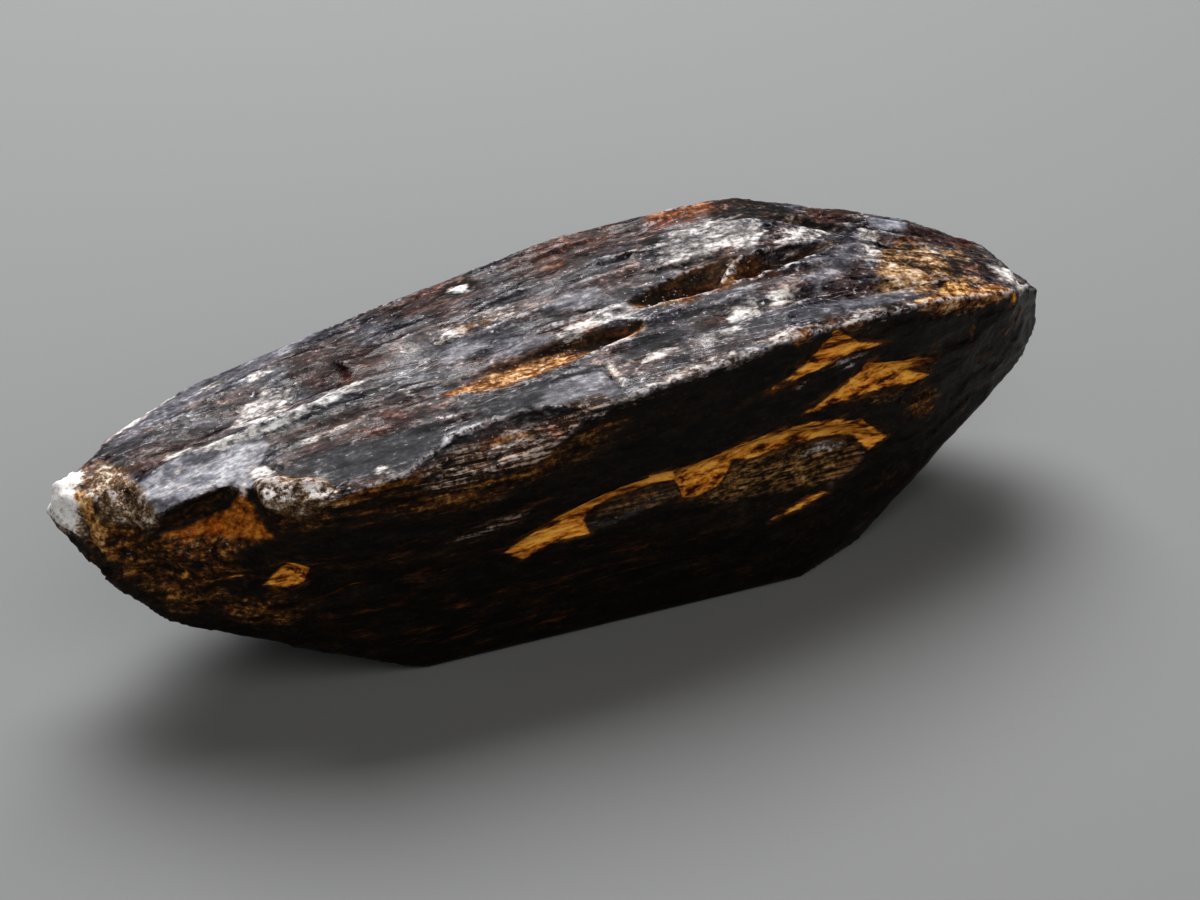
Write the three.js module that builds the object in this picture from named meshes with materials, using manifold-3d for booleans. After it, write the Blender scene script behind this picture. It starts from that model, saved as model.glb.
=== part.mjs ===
// A xenotime crystal, lying on one of its prism faces.
//
// The crystal is a stout square prism. It is widest near the middle, and each end runs out in a
// blunt pyramid that is undercut, so both tips stand clear of the ground. It grew as a bundle of
// parallel laths: they show as low splinters and lens-shaped hollows that all run lengthwise.
// Flakes have sprung off its front face, and one end is broken to a glassy stub.
//
// X runs along the crystal from the glassy stub to the dark tip, Y from the front face to the
// back, and Z up. The origin is under the middle of the crystal, at the level it rests on.
// Lengths are in millimetres.

import * as THREE from 'three';
import Module from 'manifold-3d';
import { ConvexGeometry } from 'three/addons/geometries/ConvexGeometry.js';
import { mergeVertices } from 'three/addons/utils/BufferGeometryUtils.js';

// ---- Driving dimensions ----------------------------------------------------------------------

const ROOT_DEPTH = 0.5; // how deep a grown form is rooted in the body
const CUT_REACH = 1.0; // how far a cutting form stands out of the body
const LOOK_DISTANCE = 40; // where the search for a point on a face starts
const MERGE_DISTANCE = 1e-4;
const SMALLEST_DETAIL = 0.012;

const TOP_SPLINTERS = 52;
const TOP_HOLLOWS = 16;
const FRONT_SPLINTERS = 14;
const BACK_SPLINTERS = 34;
const BACK_HOLLOWS = 12;
const UNDER_HOLLOWS = 16;
const LUMP_UNEVENNESS = [0.78, 1.08];
const EDGE_MARGIN = 0.14; // share of a face left free of splinters along each edge

const LAMINA_STEPS = 3; // thin plates that break off in steps along the front edge
const LAMINA_TOP = 7.4;
const LAMINA_FRONT = -4.05;
const LAMINA_RISE = 0.2;
const LAMINA_TREAD = 0.24;
const LAMINA_ENDS = [-5.5, -0.4];
const LAMINA_SETBACK = 0.4; // how much shorter each plate is at each end

// ---- The edges of the body -------------------------------------------------------------------

const FRONT_EDGE = [
  [-13.3, -0.8, 6], [-11.4, -2.3, 6], [-9.4, -3.2, 6.7], [-7.5, -3.9, 6.75], [-4.6, -4.1, 7.2],
  [-2, -3.95, 7.6], [0.8, -3.6, 7.6], [5.3, -2.9, 7.8], [9.8, -2, 7.3], [12.3, -1.3, 6.5],
  [13.1, -0.55, 6],
];
const CROWN = [[-6.4, 0.2, 7.5], [0.6, 1.2, 8.5], [5.6, 1.4, 8.7]];
const CREST = [
  [-12.3, 0.75, 5.95], [-11.6, 1.4, 6.2], [-9.7, 2, 6.6], [-7.6, 2.4, 6.8], [-3.7, 2.8, 7.4],
  [0.9, 3.1, 8.2], [5.9, 3, 8.4], [7, 2.7, 8], [9, 2.6, 7.5], [10.7, 2.2, 7.1],
  [12.9, 1.7, 6.1],
];
const FRONT_KEEL = [
  [-12.7, -1.8, 3.8], [-11.5, -2.4, 2.75], [-9.1, -3.1, 1.9], [-7.2, -3.3, 1], [-5.1, -3.4, 0],
  [5.5, -3.4, 0], [7.6, -2.5, 0], [10.1, -1.9, 2], [12, -1.3, 3.1], [13.3, -0.7, 3.7],
];
const BACK_KEEL = [[-10.9, 1.2, 3.2], [-5, 1.9, 0], [6.8, 2.2, 0], [11.1, 1.8, 2.2]];
const BACK_BELLY = [[-8.9, 2.4, 4.2], [-2.4, 3.7, 4], [5.6, 3.9, 4.2], [10.1, 2.9, 4]];
const STUB = [[-13.9, -0.1, 5.2], [-13.6, -0.5, 6.05], [-13.1, 0.4, 5.75], [-13.5, -0.9, 4.75]];
const DARK_TIP = [
  [13.85, 0, 5.4], [13.9, -0.1, 4.3], [13.4, 0.9, 5.4], [13.5, 1.1, 4.6], [12.5, 1.9, 3.6],
];

// ---- Solids ----------------------------------------------------------------------------------

const wasm = await Module();
wasm.setup();

const point = ([x, y, z]) => new THREE.Vector3(x, y, z);

/** A closed geometry as a solid that can be joined and cut. */
function toSolid(geometry) {
  const bare = geometry.clone();
  bare.deleteAttribute('normal');
  bare.deleteAttribute('uv');
  const merged = mergeVertices(bare, MERGE_DISTANCE);
  return new wasm.Manifold(new wasm.Mesh({
    numProp: 3,
    vertProperties: new Float32Array(merged.attributes.position.array),
    triVerts: new Uint32Array(merged.index.array),
  }));
}

/** A solid as a geometry with flat facets. */
function toGeometry(solid) {
  const mesh = solid.getMesh();
  const geometry = new THREE.BufferGeometry();
  geometry.setAttribute('position', new THREE.BufferAttribute(mesh.vertProperties, 3));
  geometry.setIndex(new THREE.BufferAttribute(mesh.triVerts, 1));
  return geometry;
}

const hullOf = (points) => toSolid(new ConvexGeometry(points));

// ---- The body, and finding a place on its faces ----------------------------------------------

const bodyGeometry = new ConvexGeometry(
  [FRONT_EDGE, CROWN, CREST, FRONT_KEEL, BACK_KEEL, BACK_BELLY, STUB, DARK_TIP].flat().map(point),
);
const bodyMesh = new THREE.Mesh(bodyGeometry);

// A place on a face is [x, y] on the top and the underside, and [x, z] on the front and the back.
const FACES = {
  top: { out: new THREE.Vector3(0, 0, 1), start: (u, v) => new THREE.Vector3(u, v, LOOK_DISTANCE) },
  under: { out: new THREE.Vector3(0, 0, -1), start: (u, v) => new THREE.Vector3(u, v, -LOOK_DISTANCE) },
  front: { out: new THREE.Vector3(0, -1, 0), start: (u, v) => new THREE.Vector3(u, -LOOK_DISTANCE, v) },
  back: { out: new THREE.Vector3(0, 1, 0), start: (u, v) => new THREE.Vector3(u, LOOK_DISTANCE, v) },
};

/** The point over a place on a face, raised off the body by a level (sunk if it is negative). */
function onFace(face, [u, v], level) {
  const { out, start } = FACES[face];
  const look = new THREE.Raycaster(start(u, v), out.clone().negate());
  const [hit] = look.intersectObject(bodyMesh);
  return hit.point.addScaledVector(out, level);
}

/**
 * A flat-sided form on a face. Its outline lies on the face, and its peaks, [u, v, level], stand
 * above it on a grown form and below it on a cutting form. The form goes on past the other side
 * of the face, by its anchor, so that it joins or cuts cleanly.
 */
function formOn(face, outline, peaks, anchor) {
  const points = outline.flatMap((place) => [onFace(face, place, 0), onFace(face, place, anchor)]);
  for (const [u, v, level] of peaks) {
    points.push(onFace(face, [u, v], level));
  }
  return hullOf(points);
}

const growthOn = (face, outline, peaks) => formOn(face, outline, peaks, -ROOT_DEPTH);
const cutOn = (face, outline, peaks) => formOn(face, outline, peaks, CUT_REACH);

/** The outline of a splinter between two places: pointed ends, and two corners on each side. */
function splinterOutline([u0, v0], [u1, v1], width) {
  const length = Math.hypot(u1 - u0, v1 - v0);
  const aside = [-(v1 - v0) / length, (u1 - u0) / length];
  const corner = (share, side) => [
    u0 + (u1 - u0) * share + aside[0] * side * width / 2,
    v0 + (v1 - v0) * share + aside[1] * side * width / 2,
  ];
  return [[u0, v0], corner(0.3, -1), corner(0.68, -0.8), [u1, v1], corner(0.6, 1), corner(0.25, 0.85)];
}

/** The two peaks of a splinter, close to one of its sides, so that this side is a steep wall. */
function splinterPeaks([u0, v0], [u1, v1], width, level) {
  return [0.3, 0.62].map((share) => [
    u0 + (u1 - u0) * share,
    v0 + (v1 - v0) * share + width * 0.3,
    level,
  ]);
}

// ---- Splinters and hollows of the parallel growth --------------------------------------------

/** Repeatable draws between 0 and 1. */
function drawsFrom(seed) {
  let state = seed;
  return () => {
    state = (Math.imul(state, 1664525) + 1013904223) >>> 0;
    return state / 2 ** 32;
  };
}

/** The Y (axis 1) or Z (axis 2) of an edge at a given X. */
function edgeAt(edge, x, axis) {
  const next = edge.findIndex((corner) => corner[0] >= x);
  if (next <= 0) {
    return edge.at(next)[axis];
  }
  const share = (x - edge[next - 1][0]) / (edge[next][0] - edge[next - 1][0]);
  return THREE.MathUtils.lerp(edge[next - 1][axis], edge[next][axis], share);
}

// Each face between its two long edges, with the stretch of X that its splinters keep to.
const SPANS = {
  top: { near: FRONT_EDGE, far: CREST, axis: 1, from: -12, to: 12.2 },
  front: { near: FRONT_KEEL, far: FRONT_EDGE, axis: 2, from: -10.9, to: 12.2 },
  back: { near: BACK_KEEL, far: CREST, axis: 2, from: -10.2, to: 10.4 },
  under: { near: FRONT_KEEL, far: BACK_KEEL, axis: 1, from: -10, to: 10.2 },
};

// Stretches of a face that no splinter or hollow starts in
const PLAIN = [
  { face: 'top', from: -12.4, to: -8.2, shares: [0, 0.45] }, // the smooth slab by the stub
  { face: 'under', from: -8.4, to: 5.6, shares: [0.36, 0.68] }, // the flat that the crystal rests on
];

function isPlain(face, x, share) {
  return PLAIN.some((area) => area.face === face && x > area.from && x < area.to
    && share > area.shares[0] && share < area.shares[1]);
}

function placeOn(face, x, share) {
  const { near, far, axis } = SPANS[face];
  return [x, THREE.MathUtils.lerp(edgeAt(near, x, axis), edgeAt(far, x, axis), share)];
}

/** Splinters (level above zero) or hollows (below zero) strewn lengthwise over a face. */
function strewn(face, count, seed, { lengths, widths, levels, make }) {
  const draw = drawsFrom(seed);
  const between = ([low, high]) => THREE.MathUtils.lerp(low, high, draw());
  const { from, to } = SPANS[face];
  const forms = [];
  for (let i = 0; i < count; i++) {
    const length = between(lengths);
    const start = THREE.MathUtils.lerp(from, to - length, (i + draw()) / count);
    const share = between([EDGE_MARGIN, 1 - EDGE_MARGIN]);
    const width = between(widths);
    const level = between(levels);
    if (!isPlain(face, start, share)) {
      const ends = [placeOn(face, start, share), placeOn(face, start + length, share)];
      forms.push(make(face, splinterOutline(...ends, width), splinterPeaks(...ends, width, level)));
    }
  }
  return forms;
}

// ---- Forms that stand up from the body -------------------------------------------------------

const grown = [
  ...strewn('top', TOP_SPLINTERS, 11, {
    lengths: [1.8, 5.6], widths: [0.3, 0.8], levels: [0.05, 0.16], make: growthOn,
  }),
  ...strewn('front', FRONT_SPLINTERS, 23, {
    lengths: [2.5, 6], widths: [0.35, 0.8], levels: [0.05, 0.09], make: growthOn,
  }),
  ...strewn('back', BACK_SPLINTERS, 37, {
    lengths: [2.2, 6.5], widths: [0.4, 1.1], levels: [0.08, 0.22], make: growthOn,
  }),

  // The slab along the front half of the stub end, with its fibrous rim
  growthOn('top', [[-11.9, -1.4], [-10, -1.2], [-7.5, -1.1], [-5.2, -0.8], [-5.5, -0.55],
    [-8.6, -0.75], [-11.6, -0.9]],
  [[-10.6, -1, 0.16], [-8.6, -0.95, 0.24], [-6.8, -0.85, 0.18]]),

  // The knobbly crust beside the notch
  growthOn('top', [[-9.2, -3.1], [-9, -2.6], [-8.3, -2.75], [-7.4, -3.5], [-7.8, -3.7], [-8.7, -3.4]],
    [[-8.85, -2.95, 0.3], [-8.5, -3.1, 0.24]]),
  growthOn('top', [[-8.5, -3.35], [-8.3, -2.95], [-7.6, -3.2], [-7.2, -3.65], [-7.9, -3.72]],
    [[-8, -3.3, 0.28], [-7.7, -3.45, 0.22]]),

  // The hump on the crest, and the ledge past it
  growthOn('top', [[2.3, 2.5], [4.9, 2], [6.2, 2.2], [5.8, 2.9], [3.6, 3.1], [2.5, 3]],
    [[4, 2.75, 0.22], [5.2, 2.75, 0.2]]),
  growthOn('top', [[8.2, 1.6], [10.4, 1.3], [11.8, 1.4], [11, 1.9], [8.9, 2.2]],
    [[9.1, 1.9, 0.16], [10.6, 1.7, 0.18]]),
];

// ---- Slots and hollows in the top face -------------------------------------------------------

// Each slot has a wall at the back, and a floor that climbs to the front
const slots = [
  // The near slot: shallow and broad to the left, and deep where it runs out to the right
  cutOn('top', [[-4.05, -1.8], [-3.5, -1.55], [-2.6, -1.4], [-1.4, -1.2], [0.3, -1.15], [0.4, -1.9],
    [-0.6, -2.15], [-1.5, -2.3], [-2.7, -2.25], [-3.5, -2.05]],
  [[-2.8, -1.55, -0.12], [-1.6, -1.4, -0.18], [-0.4, -1.4, -0.3]]),
  cutOn('top', [[-1.1, -1.25], [-0.1, -1.12], [1.1, -1.12], [1.6, -1.3], [1.75, -1.5], [1.3, -1.65],
    [0.3, -1.9], [-0.8, -1.8]],
  [[-0.3, -1.5, -0.34], [0.7, -1.45, -0.42], [1.3, -1.45, -0.3]]),

  // The far slot, in two lenses end to end with a thin slanting wall between them
  cutOn('top', [[1.4, -0.5], [2.3, -0.2], [3.3, 0.1], [4.2, 0.35], [4.75, 0.15], [4.45, -0.15],
    [4, -0.68], [3, -0.82], [1.8, -0.88]],
  [[2.4, -0.6, -0.35], [3.3, -0.5, -0.6], [4, -0.4, -0.55]]),
  cutOn('top', [[4.25, -0.62], [4.7, -0.1], [5, 0.1], [5.9, 0], [6.7, 0.3], [7.95, 0.7], [7.4, 0.2],
    [6.5, -0.2], [5.6, -0.5], [4.9, -0.62]],
  [[5, -0.4, -0.45], [5.7, -0.3, -0.48], [6.6, 0, -0.32]]),

  // A thin slit between the two slots
  cutOn('top', splinterOutline([-0.3, -0.55], [1.5, -0.4], 0.22), [[0.7, -0.4, -0.14]]),
];

// The trough behind the slab, and the low ground between the crest and the white zone
const troughs = [
  cutOn('top', [[-11.5, -0.45], [-8.7, -0.6], [-5.7, -0.4], [-6.1, 0.7], [-8.9, 1.2], [-11, 0.6]],
    [[-10, -0.15, -0.24], [-7.2, -0.15, -0.26]]),
  cutOn('top', [[-3.2, 1.6], [1.2, 1.8], [3.8, 2.2], [2.2, 2.6], [-1.6, 2.5]],
    [[-0.8, 2.2, -0.2], [1.8, 2.3, -0.22]]),
  cutOn('top', [[5.9, 1.5], [8.8, 0.9], [10.5, 0.5], [9.8, 1.1], [7.2, 1.9]],
    [[7.6, 1.55, -0.24], [9.2, 1.1, -0.2]]),
  cutOn('top', splinterOutline([-5.8, -2.9], [-2.1, -3], 0.5), [[-4.4, -2.8, -0.1], [-3.4, -2.85, -0.1]]),
  cutOn('top', splinterOutline([5.6, -1.9], [10.8, -0.8], 0.55),
    [[7.2, -1.45, -0.12], [9.2, -1.05, -0.14]]),
];

// ---- Flakes sprung off the front face --------------------------------------------------------

const flakes = [
  // The great S-shaped flake, in a slim part and a broad part
  cutOn('front', [[-3.2, 3.85], [-2, 4.3], [-0.9, 4.75], [0.15, 5], [1.9, 5], [2.1, 4.3], [-0.4, 4.2],
    [-0.7, 3.6], [-2.4, 3.35]],
  [[-1.3, 4.25, -0.3], [0.2, 4.75, -0.34], [1.4, 4.8, -0.3]]),
  cutOn('front', [[1.2, 4.85], [2.2, 4.95], [3.5, 5.05], [4.8, 5.05], [5.95, 4.85], [7.3, 4.4],
    [8.2, 3.6], [7.2, 3], [6, 2.3], [4.6, 2.3], [3.3, 3.5], [1.6, 4.2]],
  [[3, 4.65, -0.38], [5, 4.65, -0.46], [6.8, 4.1, -0.4], [7.4, 3.6, -0.3]]),
  // Two hooked flakes above it
  cutOn('front', [[4.5, 6.55], [5.8, 6.95], [6.5, 7.5], [7.2, 6.95], [6.3, 6.7]], [[6.2, 7.1, -0.3]]),
  cutOn('front', [[5.7, 5.4], [7.5, 6.2], [9.8, 5.45], [9.5, 5], [8.7, 4.75], [7.6, 5.15]],
    [[7.6, 5.95, -0.34], [8.8, 5.45, -0.3]]),
  // Small ones by the notch and low on the face
  cutOn('front', [[-9.15, 4], [-8.6, 4.75], [-8.1, 4.4], [-8.5, 3.85]], [[-8.6, 4.4, -0.25]]),
  cutOn('front', splinterOutline([-4.6, 4.45], [-2.4, 4.9], 0.24), [[-3.6, 4.75, -0.14]]),
  cutOn('front', splinterOutline([4.5, 2.45], [6.5, 2.4], 0.3), [[5.4, 2.5, -0.14]]),
  cutOn('front', splinterOutline([-8.3, 3.1], [-5.6, 3.6], 0.7), [[-7, 3.5, -0.16]]),
  cutOn('front', splinterOutline([-1.8, 1.5], [3.6, 1.7], 0.8), [[0, 1.8, -0.14], [1.8, 1.85, -0.14]]),
];

// The notch in the front edge: a three-cornered hollow that runs in under the slab above it
const notch = hullOf([
  ...[[-11.5, -2.8], [-9.2, -2.65], [-9.1, -3.3], [-9.1, -4.6], [-11.5, -3.8]].map(([x, y]) => [x, y, 7.4]),
  [-11.65, -2.15, 5.5], [-11.65, -3.5, 5.5], // its left corner
  [-8.85, -3.35, 5.5], [-8.85, -4.6, 5.5], // its right corner
  [-10.6, -2.7, 4.65], [-10.6, -4, 4.65], // its foot
  [-10.25, -2.05, 5.75], // its deepest point
].map(point));

// Thin plates broken back in steps along the front edge: each step goes further back and lower
const laminae = [];
for (let step = 0; step < LAMINA_STEPS; step++) {
  const tread = LAMINA_TOP - LAMINA_RISE * (step + 1);
  const back = LAMINA_FRONT + LAMINA_TREAD * (LAMINA_STEPS - step);
  const left = [LAMINA_ENDS[0] + LAMINA_SETBACK * step, -4];
  const right = [LAMINA_ENDS[1] - LAMINA_SETBACK * step, -3.75];
  const wallLeft = [-4, back];
  const wallRight = [-2.1, back + 0.1];
  const pillar = ([x, y], low, high) => [[x, y, low], [x, -5, low], [x, y, high], [x, -5, high]];
  laminae.push(hullOf([
    ...pillar(left, tread - 0.25, tread),
    ...pillar(right, tread + 0.25, LAMINA_TOP + 0.25),
    ...pillar(wallLeft, tread, 8.2),
    ...pillar(wallRight, tread + 0.12, 8.2),
  ].map(point)));
}

// Short cracks across the grain of the top face
const cracks = [
  cutOn('top', [[-0.02, -2.3], [0.18, -2.3], [0.6, -3.45], [0.4, -3.5]], [[0.25, -2.8, -0.2]]),
  cutOn('top', [[-4.1, -2.2], [-3.9, -2.2], [-3.5, -3.1], [-3.7, -3.15]], [[-3.8, -2.6, -0.14]]),
];

// ---- The broken stub and the dark tip --------------------------------------------------------

/** A rough lump: a ball with its corners drawn in and out, wide, deep and high as given. */
function lump(centre, [wide, deep, high], seed) {
  const draw = drawsFrom(seed);
  const ball = mergeVertices(
    new THREE.IcosahedronGeometry(1, 0).deleteAttribute('normal').deleteAttribute('uv'),
  );
  const corners = [];
  for (let i = 0; i < ball.attributes.position.count; i++) {
    const corner = new THREE.Vector3().fromBufferAttribute(ball.attributes.position, i);
    corner.multiplyScalar(THREE.MathUtils.lerp(...LUMP_UNEVENNESS, draw()));
    corners.push(corner.multiply(new THREE.Vector3(wide, deep, high)).add(point(centre)));
  }
  return hullOf(corners);
}

const stubLumps = [
  lump([-13.15, -0.25, 5.75], [0.72, 0.62, 0.6], 3),
  lump([-12.5, -0.8, 5.6], [0.75, 0.5, 0.6], 5),
  lump([-12.35, 0.1, 5.95], [0.6, 0.55, 0.42], 9),
];
const stubChips = [
  cutOn('front', [[-12.7, 5.75], [-12.3, 6], [-11.75, 5.8], [-11.7, 5], [-12.2, 4.5], [-12.7, 4.7]],
    [[-12.15, 5.35, -0.3]]),
  cutOn('front', [[-12.4, 4.3], [-11.7, 4.9], [-10.9, 4.6], [-10.6, 3.9], [-11.3, 3.2], [-12, 3.5]],
    [[-11.4, 4.4, -0.28], [-11.7, 4, -0.2]]),
  cutOn('front', [[-10.9, 3.8], [-9.9, 4.5], [-9.3, 4.4], [-9.2, 3.3], [-10, 2.8], [-10.6, 3]],
    [[-9.8, 4, -0.22]]),
  cutOn('top', [[-12.4, -1.35], [-11.95, -1.1], [-11.75, -1.5], [-11.7, -2], [-12.1, -1.85]],
    [[-12, -1.5, -0.3]]),
  cutOn('back', [[-13.3, 5.8], [-12, 6], [-11.6, 4.8], [-12.6, 4.2]], [[-12.5, 5.3, -0.35]]),
];

// The dark tip has a pale rough cap, and a chip out of its back
const tipCap = lump([12.7, 0.15, 5.98], [0.5, 0.7, 0.3], 31);
const tipChip = cutOn('back', [[12.2, 5.7], [13.3, 5.6], [13.2, 4.4], [12.3, 4.3]], [[12.8, 5.1, -0.4]]);

// ---- Hollows strewn over the faces -----------------------------------------------------------

const hollows = [
  ...strewn('top', TOP_HOLLOWS, 53, {
    lengths: [1.2, 3.4], widths: [0.25, 0.5], levels: [-0.2, -0.1], make: cutOn,
  }),
  ...strewn('back', BACK_HOLLOWS, 59, {
    lengths: [1.8, 4.6], widths: [0.4, 1.2], levels: [-0.32, -0.14], make: cutOn,
  }),
  ...strewn('under', UNDER_HOLLOWS, 61, {
    lengths: [2.2, 5.5], widths: [0.4, 1.0], levels: [-0.26, -0.12], make: cutOn,
  }),
];

// ---- The crystal -----------------------------------------------------------------------------

let solid = toSolid(bodyGeometry);
for (const form of [...grown, ...stubLumps, tipCap]) {
  solid = solid.add(form);
}
const cuts = [slots, troughs, flakes, notch, laminae, cracks, stubChips, tipChip, hollows].flat();
for (const form of cuts) {
  solid = solid.subtract(form);
}

// Facets too small to see are taken up by their neighbours
solid = solid.simplify(SMALLEST_DETAIL);

const crystalGeometry = toGeometry(solid);
crystalGeometry.computeBoundingBox();
const middle = crystalGeometry.boundingBox.getCenter(new THREE.Vector3());

const crystal = new THREE.Mesh(
  crystalGeometry,
  new THREE.MeshStandardMaterial({ color: 0x4a3a36, roughness: 0.45, metalness: 0 }),
);
crystal.name = 'crystal';
crystal.position.set(-middle.x, -middle.y, -crystalGeometry.boundingBox.min.z);

const xenotimeCrystal = new THREE.Group();
xenotimeCrystal.add(crystal);

export default xenotimeCrystal;
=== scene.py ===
import math

import bmesh
import bpy
import numpy as np
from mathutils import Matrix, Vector, noise


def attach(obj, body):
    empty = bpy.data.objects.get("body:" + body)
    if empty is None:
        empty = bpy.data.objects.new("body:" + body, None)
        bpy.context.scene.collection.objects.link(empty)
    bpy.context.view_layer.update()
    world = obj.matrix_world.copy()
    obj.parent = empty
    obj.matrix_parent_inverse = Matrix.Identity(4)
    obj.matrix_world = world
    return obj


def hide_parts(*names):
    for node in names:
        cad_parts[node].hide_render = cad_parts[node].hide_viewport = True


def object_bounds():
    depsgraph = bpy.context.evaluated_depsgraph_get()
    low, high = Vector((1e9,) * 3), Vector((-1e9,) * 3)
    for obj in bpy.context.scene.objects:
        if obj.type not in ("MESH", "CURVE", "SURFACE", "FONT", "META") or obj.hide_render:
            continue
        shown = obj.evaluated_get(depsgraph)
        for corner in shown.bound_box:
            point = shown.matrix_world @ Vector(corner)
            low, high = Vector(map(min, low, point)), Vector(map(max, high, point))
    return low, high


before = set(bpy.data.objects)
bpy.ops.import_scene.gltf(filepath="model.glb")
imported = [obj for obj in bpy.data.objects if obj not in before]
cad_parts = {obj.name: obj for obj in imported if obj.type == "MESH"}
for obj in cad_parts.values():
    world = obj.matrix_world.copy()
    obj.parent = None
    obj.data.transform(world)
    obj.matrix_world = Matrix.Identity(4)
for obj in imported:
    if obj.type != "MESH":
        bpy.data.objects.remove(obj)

cad_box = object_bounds()


# ---- The camera, the ground and the light ------------------------------------------------------
# The crystal lies on a plain pale ground. The camera looks down on its front face from close by,
# turned towards the glassy end. A broad window light comes from behind and above.

MM = 0.001
LOOK_TURN = -20  # degrees to the left of straight in front
LOOK_HEIGHT = 38  # degrees above the ground
LOOK_DISTANCE = 75.3 * MM
LENS = 85
GROUND_SIZE = 1.2
PALE_GREY = (0.25, 0.255, 0.26, 1)
aim = Vector((0.6, -0.99, 4.0)) * MM

turn, height = math.radians(LOOK_TURN), math.radians(LOOK_HEIGHT)
back = Vector((math.sin(turn) * math.cos(height), -math.cos(turn) * math.cos(height), math.sin(height)))
camera = bpy.data.objects.new("camera", bpy.data.cameras.new("camera"))
camera.data.lens = LENS
camera.data.clip_start = 1 * MM
camera.data.clip_end = 3
camera.location = aim + back * LOOK_DISTANCE
camera.rotation_mode = "QUATERNION"
camera.rotation_quaternion = (-back).to_track_quat("-Z", "Y")
bpy.context.scene.collection.objects.link(camera)
bpy.context.scene.camera = camera

ground_shape = bmesh.new()
bmesh.ops.create_grid(ground_shape, x_segments=1, y_segments=1, size=GROUND_SIZE)
ground_mesh = bpy.data.meshes.new("ground")
ground_shape.to_mesh(ground_mesh)
ground_shape.free()
ground = bpy.data.objects.new("ground", ground_mesh)
bpy.context.scene.collection.objects.link(ground)

plain_board = bpy.data.materials.new("plain_board")
plain_board.use_nodes = True
board_shader = plain_board.node_tree.nodes["Principled BSDF"]
board_shader.inputs["Base Color"].default_value = PALE_GREY
board_shader.inputs["Roughness"].default_value = 0.9
board_shader.inputs["Specular IOR Level"].default_value = 0.2
ground_mesh.materials.append(plain_board)


def soft_light(name, place, size, power, colour):
    """A broad lamp turned to the crystal, with its place and size in mm."""
    lamp = bpy.data.lights.new(name, "AREA")
    lamp.shape = "RECTANGLE"
    lamp.size, lamp.size_y = size[0] * MM, size[1] * MM
    lamp.energy = power
    lamp.color = colour
    holder = bpy.data.objects.new(name, lamp)
    holder.location = Vector(place) * MM
    holder.rotation_mode = "QUATERNION"
    holder.rotation_quaternion = (aim - holder.location).to_track_quat("-Z", "Y")
    bpy.context.scene.collection.objects.link(holder)


soft_light("window", (12, 84, 126), (100, 95), 0.275, (1.0, 0.99, 0.98))
soft_light("room_left", (-150, -20, 90), (140, 140), 0.03, (1.0, 0.98, 0.95))
soft_light("room_front", (20, -120, 130), (200, 200), 0.135, (1.0, 0.97, 0.93))

sky = bpy.data.worlds.new("sky")
sky.use_nodes = True
sky.node_tree.nodes["Background"].inputs["Color"].default_value = (0.9, 0.94, 1.0, 1)
sky.node_tree.nodes["Background"].inputs["Strength"].default_value = 0.02
bpy.context.scene.world = sky
bpy.context.scene.view_settings.view_transform = "Standard"
bpy.context.scene.view_settings.look = "High Contrast"


# ---- The crystal: its surface ------------------------------------------------------------------
# One xenotime crystal, a square prism of parallel laths that runs out in a tip at each end. Its
# surface is the solid's own, taken to a fine even mesh, then worked over with the marks of its
# growth: laths that stand a little proud of each other, chips that each lean a little, and grain.

MESH_SIZE = 0.095 * MM
SAME_POINT = 0.0005 * MM

shape = bmesh.new()
shape.from_mesh(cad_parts["crystal"].data)
bmesh.ops.remove_doubles(shape, verts=shape.verts, dist=SAME_POINT)
crystal_mesh = bpy.data.meshes.new("crystal_surface")
shape.to_mesh(crystal_mesh)
shape.free()
crystal = bpy.data.objects.new("crystal_surface", crystal_mesh)
bpy.context.scene.collection.objects.link(crystal)

remesh = crystal.modifiers.new("even_mesh", "REMESH")
remesh.mode = "VOXEL"
remesh.voxel_size = MESH_SIZE
remesh.use_smooth_shade = True
remeshed = crystal.evaluated_get(bpy.context.evaluated_depsgraph_get())
crystal_mesh = bpy.data.meshes.new_from_object(remeshed)
crystal.modifiers.clear()
crystal.data = crystal_mesh

count = len(crystal_mesh.vertices)
edges = np.empty(len(crystal_mesh.edges) * 2, np.int64)
crystal_mesh.edges.foreach_get("vertices", edges)
edges = edges.reshape(-1, 2)
neighbours = np.bincount(edges.ravel(), minlength=count)


def read_threes(source, field):
    """A place or a direction for every point of the mesh."""
    values = np.empty(count * 3)
    source.foreach_get(field, values)
    return values.reshape(-1, 3)


SMOOTHING = 0.6  # how far of the way to the mean of its neighbours a point goes in one round
FACING_ROUNDS, BROAD_ROUNDS, HOLLOW_ROUNDS, ABOUT_ROUNDS = 6, 40, 60, 8


def smoothed(rows, rounds):
    """Places or directions drawn to the mean of their neighbours, a number of times."""
    starts, ends = edges.T
    for _ in range(rounds):
        total = np.column_stack([
            np.bincount(starts, axis[ends], count) + np.bincount(ends, axis[starts], count)
            for axis in rows.T])
        rows = rows * (1 - SMOOTHING) + total / neighbours[:, None] * SMOOTHING
    return rows


def unit(vectors):
    return vectors / np.maximum(np.linalg.norm(vectors, axis=1), 1e-9)[:, None]


points = read_threes(crystal_mesh.vertices, "co") / MM
facing = unit(smoothed(read_threes(crystal_mesh.vertex_normals, "vector"), FACING_ROUNDS))
broad_facing = unit(smoothed(facing, BROAD_ROUNDS))
# How deep each point lies in a hollow, in mm
sunk = np.sum((smoothed(points, HOLLOW_ROUNDS) - points) * broad_facing, axis=1)


# ---- The crystal: where its colours lie --------------------------------------------------------
# Dark brown xenotime is glassy where it is whole, and ochre where a flake has sprung off it. Each
# patch is an outline on one face, [x, y] on the top and [x, z] on the front, or a streak along a
# line of [x, y, z], in millimetres. What is kept is the depth inside the patch.

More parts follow.
